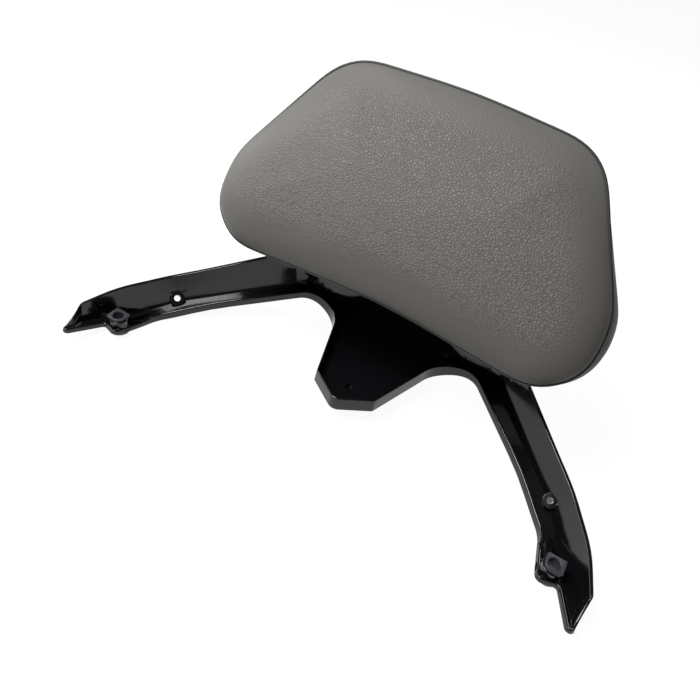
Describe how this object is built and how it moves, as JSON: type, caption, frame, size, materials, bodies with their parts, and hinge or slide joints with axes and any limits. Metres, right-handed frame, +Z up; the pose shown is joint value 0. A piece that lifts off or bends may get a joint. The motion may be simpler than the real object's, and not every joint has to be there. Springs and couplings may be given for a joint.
{
  "type": "motorcycle backrest",
  "caption": "Upholstered passenger backrest pad on a cast tray bracket with two curved forward arms and a middle tongue, for a large scooter.",
  "frame": {"origin": "on the flat underside of the bracket's tongue, on the middle plane, where the bracket is seated on the vehicle", "axes": "+X to the rider's right, -Y forward towards the arms' tips, +Z up out of the tray"},
  "size_m": [0.4496, 0.2295, 0.232],
  "materials": {
    "casting_paint": "gloss black",
    "dark_zinc": "dark zinc plate, satin",
    "shell_plastic": "moulded black",
    "foam": "open cell foam",
    "front_leatherette": "grained, warm grey, satin",
    "side_leatherette": "grained, dark grey, satin",
    "piping": "black cord",
    "insert_brass": "machined",
    "bolt_steel": "black oxide",
    "washer_steel": "bright zinc"
  },
  "bodies": {
    "root": {"bracket_casting": "casting_paint", "arm_nut_left": "dark_zinc", "arm_nut_right": "dark_zinc", "pad_base_shell": "shell_plastic", "pad_foam": "foam", "front_cover": "front_leatherette", "side_band": "side_leatherette", "seam_piping": "piping", "thread_insert_1": "insert_brass", "thread_insert_2": "insert_brass", "thread_insert_3": "insert_brass", "thread_insert_4": "insert_brass", "pad_bolt_1": "bolt_steel", "pad_bolt_2": "bolt_steel", "pad_bolt_3": "bolt_steel", "pad_bolt_4": "bolt_steel", "pad_washer_1": "washer_steel", "pad_washer_2": "washer_steel", "pad_washer_3": "washer_steel", "pad_washer_4": "washer_steel", "pad_spring_washer_1": "washer_steel", "pad_spring_washer_2": "washer_steel", "pad_spring_washer_3": "washer_steel", "pad_spring_washer_4": "washer_steel"}
  },
  "joints": []
}
